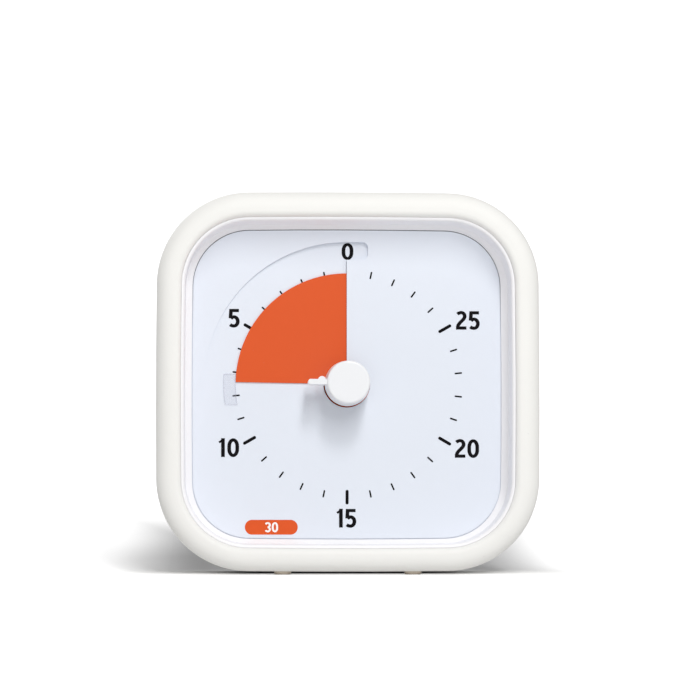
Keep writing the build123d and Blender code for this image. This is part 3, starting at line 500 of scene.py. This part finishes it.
# %% Ticks
MINUTES = 30
LARGE_EVERY = 5
SMALL_SIZE = (0.38, 1.75)
SMALL_REACH = 26.2
LARGE_SIZE = (0.72, 3.4)
LARGE_REACH = 26.4
TICK_ROUND = 0.48
TICK_SEGMENTS = 5
SCALE_SHIFT = (0.14, -0.08)
SCALE_TURN = radians(-0.16)
scale_middle = (SCALE_SHIFT[0] * MM, DIAL_Y, DIAL_Z + SCALE_SHIFT[1] * MM)


def tick(size, reach):
    """A tick at twelve o'clock, its middle at a reach in millimetres from the scale's middle."""
    return round_bar(size, scale_middle[0], scale_middle[2] + reach * MM, TICK_ROUND, TICK_SEGMENTS)


small_tick = tick(SMALL_SIZE, SMALL_REACH)
large_tick = tick(LARGE_SIZE, LARGE_REACH)
for minute in range(1, MINUTES):
    mark = copy_of(small_tick if minute % LARGE_EVERY else large_tick)
    turn = radians(360 * minute / MINUTES) + SCALE_TURN
    bpy.ops.transform.rotate(value=turn, orient_axis="Y", center_override=scale_middle)
    settle(mark)
    lay_on(mark, dial, INK_LIFT)
    printed(mark, f"tick_{minute:02d}", ink)
put_away([small_tick, large_tick])
print("ticks:", MINUTES - 1)

# %% [markdown]
# ## Numerals
# The numerals are a narrow, bold engineers' face. A font file would be a second file to carry, and Blender's
# own font is wider and lighter. So each stroke is a flat strip: a grid, one cell wide, whose columns are set
# along the stroke's middle line. The pen is a little wider than it is high, as in most printed figures, so
# upright strokes come out bolder. Bows are arcs, and corners are mitred.

# %% Strokes
PEN = (0.86, 0.75)


def arc(x, z, reach_x, reach_z, start, end, steps=14):
    """Points on an upright ellipse's arc, angles in degrees from the right and counter-clockwise."""
    turns = [radians(start + (end - start) * i / steps) for i in range(steps + 1)]
    return [(x + reach_x * cos(turn), z + reach_z * sin(turn)) for turn in turns]


def heading(start, end):
    """Direction from one point to another."""
    return atan2(end[1] - start[1], end[0] - start[0])


def strip(path, weight=1.0):
    """A flat strip along (x, z) points, in millimetres. A path that ends where it starts is closed."""
    last = len(path) - 1
    closed = path[0] == path[last]
    ways = [heading(path[i], path[i + 1]) for i in range(last)]
    ways_in = [ways[-1] if closed else ways[0]] + ways
    ways_out = ways + [ways[0] if closed else ways[-1]]
    bpy.ops.mesh.primitive_grid_add(x_subdivisions=last, y_subdivisions=1, size=1)
    piece = bpy.context.object
    for vertex in piece.data.vertices:
        here = round((vertex.co.x + 0.5) * last)
        side = weight / 2 if vertex.co.y > 0 else -weight / 2
        turn = (ways_out[here] - ways_in[here] + pi) % (2 * pi) - pi
        across = ways_in[here] + turn / 2 + pi / 2
        reach = side / cos(turn / 2)
        x = path[here][0] + reach * PEN[0] * cos(across)
        z = path[here][1] + reach * PEN[1] * sin(across)
        vertex.co = (x, 0, z)
    return piece


# %% Digit shapes, drawn round their own middle
DIGIT_SIZE = (2.74, 4.38)
TOP = (DIGIT_SIZE[1] - PEN[1]) / 2
SIDE = (DIGIT_SIZE[0] - PEN[0]) / 2
BOW = 1.45
END = TOP + PEN[1] / 2
ZERO = arc(0, TOP - BOW, SIDE, BOW, 0, 180) + arc(0, BOW - TOP, SIDE, BOW, 180, 360) + [(SIDE, TOP - BOW)]
DIGITS = {
    "0": [(ZERO, 1)],
    "1": [([(0.3, -END), (0.3, END)], 1), ([(0.3, 1.84), (-0.6, 1.2)], 0.62)],
    "2": [([(-0.9, 1.44), (-0.68, 1.62)] + arc(-0.02, 0.95, 0.84, 0.87, 118, -22)
           + [(0.55, 0.27), (0.16, -0.14), (-0.36, -0.64), (-0.7, -1.12), (-0.85, -1.62)], 1),
          ([(-1.24, -TOP), (1.22, -TOP)], 1)],
    "3": [(arc(0, TOP / 2, SIDE, TOP / 2, 155, -90), 1), (arc(0, -TOP / 2, SIDE, TOP / 2, 90, -155), 1)],
    "5": [([(1.1, TOP), (-0.76, TOP), (-0.87, -0.02)], 1),
          (arc(-0.06, -0.75, 0.9, 1.07, 142, -98) + [(-0.6, -1.74), (-0.98, -1.5)], 1)],
}
digit_strokes = {}
for character, strokes in DIGITS.items():
    digit_strokes[character] = [strip(path, weight) for path, weight in strokes]
print("strokes:", {character: len(strokes) for character, strokes in digit_strokes.items()})

# %% Numerals
STROKE_STEP = 0.008 * MM
FULL = (1, 1)
LOW_ZERO = (1, 0.91)
NUMERALS = [
    ("0", "0", 0.2, 31.25, LOW_ZERO), ("5", "5", -26.4, 15.42, FULL),
    ("10a", "1", -29.27, -14.91, FULL), ("10b", "0", -26.58, -14.93, FULL),
    ("15a", "1", -1.68, -31.38, FULL), ("15b", "5", 0.95, -31.42, FULL),
    ("20a", "2", 26.6, -15.05, FULL), ("20b", "0", 29.67, -15.1, FULL),
    ("25a", "2", 26.92, 15.05, FULL), ("25b", "5", 30.0, 15.0, FULL),
]


def digit(character, name, x, z, scale, material, lift):
    """One printed digit, placed from the dial's middle. Where strokes cross, each lies on the last."""
    copies = [copy_of(stroke) for stroke in digit_strokes[character]]
    for number, piece in enumerate(copies):
        piece.scale = (scale[0] * MM, MM, scale[1] * MM)
        piece.location = (x * MM, DRAW_Y, DIAL_Z + z * MM)
        settle(piece)
        lay_on(piece, dial, lift + number * STROKE_STEP)
    only(copies[0])
    for piece in copies:
        piece.select_set(True)
    if len(copies) > 1:
        bpy.ops.object.join()
    return printed(bpy.context.object, name, material)


for label, character, x, z, scale in NUMERALS:
    digit(character, "numeral_" + label, x, z, scale, ink, INK_LIFT)
print("digits:", len(NUMERALS))

# %% [markdown]
# ## The range label
# Under the scale a small orange pill tells how many minutes the dial holds. It is a plate with round ends,
# printed like the rest, and its digits are a second, white print on top of it.

# %% Range label
PILL_SIZE = (12.35, 3.45)
PILL_AT = (-17.65, -33.5)
PILL_ROUND = 0.49
PILL_SEGMENTS = 12
RANGE_SCALE = (0.54, 0.54)
RANGE_LIFT = 2 * INK_LIFT
RANGE_DIGITS = [("a", "3", -0.85), ("b", "0", 0.85)]
pill_orange = finish("pill_ink", colour(222, 84, 24), rough=0.6, grain=2600.0, bump=0.02, vary=0.05,
                     drift=0.02, dusty=0.03, Specular_IOR_Level=0.3)
pill_white = finish("pill_digits", colour(250, 246, 244), rough=0.5, grain=2600.0, bump=0.02, vary=0.05,
                    drift=0.02, dusty=0.05)
pill = round_bar(PILL_SIZE, PILL_AT[0] * MM, DIAL_Z + PILL_AT[1] * MM, PILL_ROUND, PILL_SEGMENTS)
lay_on(pill, dial, INK_LIFT)
printed(pill, "range_label", pill_orange)
for label, character, shift in RANGE_DIGITS:
    name = "range_digit_" + label
    digit(character, name, PILL_AT[0] + shift, PILL_AT[1], RANGE_SCALE, pill_white, RANGE_LIFT)
for strokes in digit_strokes.values():
    put_away(strokes)
print("label at", PILL_AT)

# %% [markdown]
# ## Table and light
# The table is a sheet of white paper that lies flat under the timer and sweeps up behind it, as in a small
# studio, so there is no horizon. It is a plane whose rear edge is carried round an arc by `spin` and then
# straight on.

# %% Paper sweep
SWEEP_START = 0.03
SWEEP_RADIUS = 0.9
SWEEP_TURN = radians(60)
SWEEP_STEPS = 48
SWEEP_WIDTH = 6.0
SWEEP_FLAT = 3.0
SWEEP_WALL = 2.0
deselect_all()
bpy.ops.mesh.primitive_plane_add(size=1, location=(0, SWEEP_START - SWEEP_FLAT / 2, 0))
table = bpy.context.object
table.name = "table"
table.scale = (SWEEP_WIDTH, SWEEP_FLAT, 1)
bpy.ops.object.transform_apply(location=True, rotation=True, scale=True)
bpy.ops.object.mode_set(mode="EDIT")
bpy.ops.mesh.select_mode(type="VERT")
bpy.ops.mesh.select_all(action="DESELECT")
bpy.ops.object.mode_set(mode="OBJECT")
for vertex in table.data.vertices:
    vertex.select = vertex.co.y > SWEEP_START - MM
bpy.ops.object.mode_set(mode="EDIT")
bpy.ops.mesh.spin(steps=SWEEP_STEPS, angle=SWEEP_TURN, center=(0, SWEEP_START, SWEEP_RADIUS), axis=(-1, 0, 0))
wall = (0, SWEEP_WALL * cos(SWEEP_TURN), SWEEP_WALL * sin(SWEEP_TURN))
bpy.ops.mesh.extrude_region_move(TRANSFORM_OT_translate={"value": wall})
bpy.ops.mesh.select_all(action="SELECT")
bpy.ops.mesh.normals_make_consistent(inside=False)
bpy.ops.mesh.flip_normals()
bpy.ops.object.mode_set(mode="OBJECT")
bpy.ops.object.shade_smooth()
print("sweep corners:", len(table.data.vertices), "first face looks up:", table.data.polygons[0].normal.z > 0)

# %% [markdown]
# ## Paper finish
# Seen by the light, the paper is plain matt white. A camera ray sees it brighter, so it reads as pure white
# and still holds the shadow. How bright depends on the place, and each pair of names below is what a camera
# ray sees and where it changes:
# - `SHADE`: a painted shadow, darker just behind the timer's foot and brighter out to both sides, so that the
#   foot's shadow stays deep close by and melts away beside it.
# - `SWEEP`: brighter again as the paper rises.
# - `FAR`: brightest far from the timer, so that no grey band shows in a view from above or behind.
#
# The paper's back is see-through, so a camera that stands behind the sweep sees the timer's back.

# %% Paper measures
PAPER_LIGHT = 0.9
PAPER_FRONT = 1.42
SHADE_SEEN = (0.62, 1.8)
SHADE_MIDDLE = 3 * MM
SHADE_OUT = (36 * MM, 63 * MM)
SHADE_BACK = (-30 * MM, 50 * MM)
SWEEP_SEEN = (0.6, 2.4)
SWEEP_RISE = (3 * MM, 19 * MM)
FAR_SEEN = (0, 3.2)
FAR_OUT = (0.45, 1.05)
print("paper seen by the light:", PAPER_LIGHT)

# %% Paper as a camera ray sees it
SOFT = "SMOOTHSTEP"
table_white = bpy.data.materials.new("table_white")
table_white.use_nodes = True
tree = table_white.node_tree
tree.nodes.clear()
place = object_place(tree)
axes = axes_of(tree, place)
# Painted shadow: just behind the timer a camera ray sees the paper darker than the light leaves it.
aside = maths(tree, "ABSOLUTE", maths(tree, "SUBTRACT", axes["X"], SHADE_MIDDLE))
beside = spread(tree, aside, SHADE_OUT, SHADE_SEEN, SOFT)
behind = spread(tree, axes["Y"], SHADE_BACK, (PAPER_FRONT, beside), SOFT)
rising = spread(tree, axes["Z"], SWEEP_RISE, SWEEP_SEEN, SOFT)
far = spread(tree, vector_maths(tree, "LENGTH", place), FAR_OUT, FAR_SEEN, SOFT)
lightest = maths(tree, "MAXIMUM", maths(tree, "MAXIMUM", behind, rising), far)
rays = add_node(tree, "ShaderNodeLightPath")
level = spread(tree, rays.outputs["Is Camera Ray"], (0, 1), (PAPER_LIGHT, lightest))
print("paper nodes so far:", len(tree.nodes))

# %% Paper front and back
matt = add_node(tree, "ShaderNodeBsdfDiffuse")
clear = add_node(tree, "ShaderNodeBsdfTransparent")
surface = add_node(tree, "ShaderNodeNewGeometry")
sides = add_node(tree, "ShaderNodeMixShader")
out = add_node(tree, "ShaderNodeOutputMaterial")
feed(tree, level, matt.inputs["Color"])
feed(tree, surface.outputs["Backfacing"], sides.inputs["Fac"])
feed(tree, matt.outputs[0], sides.inputs[1])
feed(tree, clear.outputs[0], sides.inputs[2])
feed(tree, sides.outputs[0], out.inputs["Surface"])
table.data.materials.append(table_white)
print("paper:", table_white.name)

# %% [markdown]
# ## Lamps
# Two slim soft boxes stand one over the other in front, a little to the right. Their narrow width lets the
# knob throw a clear shadow, and their height melts it away downwards. On its own, the upper one would also
# throw the shadow of the case's rim over the top of the dial, which a small reflector takes out in a studio.
# Here the rim is left out of what blocks that lamp. An even white surround fills in the rest.

# %% Surround
FILL = 0.4
world = bpy.data.worlds.new("studio")
bpy.context.scene.world = world
world.use_nodes = True
tree = world.node_tree
tree.nodes.clear()
rays = add_node(tree, "ShaderNodeLightPath").outputs
mirrored = maths(tree, "MAXIMUM", rays["Is Glossy Ray"], rays["Is Transmission Ray"])
seen = maths(tree, "MAXIMUM", rays["Is Camera Ray"], mirrored)
surround = add_node(tree, "ShaderNodeBackground", Color=(1, 1, 1, 1))
out = add_node(tree, "ShaderNodeOutputWorld")
feed(tree, spread(tree, seen, (0, 1), (FILL, 1.0)), surround.inputs["Strength"])
feed(tree, surround.outputs[0], out.inputs["Surface"])
print("surround:", FILL)

# %% Soft boxes
LAMP_RIGHT = radians(9)
LAMP_AWAY = 1.0
LAMP_WIDTH = 0.14


def soft_box(name, up, height, power):
    """Slim area lamp in front of the dial, some degrees up, aimed at the dial's middle."""
    turn = radians(up)
    at = (LAMP_AWAY * cos(turn) * sin(LAMP_RIGHT),
          DIAL_Y - LAMP_AWAY * cos(turn) * cos(LAMP_RIGHT),
          DIAL_Z + LAMP_AWAY * sin(turn))
    bpy.ops.object.light_add(type="AREA", location=at, rotation=(pi / 2 - turn, 0, LAMP_RIGHT))
    lamp = bpy.context.object
    lamp.name = name
    lamp.data.shape = "RECTANGLE"
    lamp.data.size = LAMP_WIDTH
    lamp.data.size_y = height
    lamp.data.energy = power
    return lamp


lower_box = soft_box("lower_soft_box", up=29, height=0.55, power=3.4)
upper_box = soft_box("upper_soft_box", up=43.5, height=0.25, power=2.05)
print("soft boxes:", lower_box.name, upper_box.name)


# %% What the upper soft box passes by
def left_out(name, pieces):
    """A collection for light linking that leaves its pieces out."""
    group = bpy.data.collections.new(name)
    for piece in pieces:
        group.objects.link(piece)
    for entry in group.collection_objects:
        entry.light_linking.link_state = "EXCLUDE"
    return group


rim = [frame["nodes"][name] for name in ("silicone_cover", "front_housing")]
upper_box.light_linking.blocker_collection = left_out("rim_that_lets_light_by", rim)
print("rim pieces:", len(rim))

# %% [markdown]
# ## Rear lamp
# A weak, broad lamp behind, up and to the left, inside the sweep, lifts the back and draws a light edge on
# the sleeve. It doesn't light the paper, so it takes nothing off the shadow.

# %% Rear lamp
REAR_AT = (-0.34, 0.5, 0.42)
REAR_SIZE = 0.45
REAR_POWER = 1.4
aim = (Vector((0, 0, DIAL_Z)) - Vector(REAR_AT)).to_track_quat("-Z", "Y").to_euler()
bpy.ops.object.light_add(type="AREA", location=REAR_AT, rotation=aim)
rear_box = bpy.context.object
rear_box.name = "rear_soft_box"
rear_box.data.size = REAR_SIZE
rear_box.data.energy = REAR_POWER
rear_box.light_linking.receiver_collection = left_out("paper_kept_from_the_rear_lamp", [table])
print("rear lamp:", REAR_POWER)

# %% Nothing selected at the end
deselect_all()
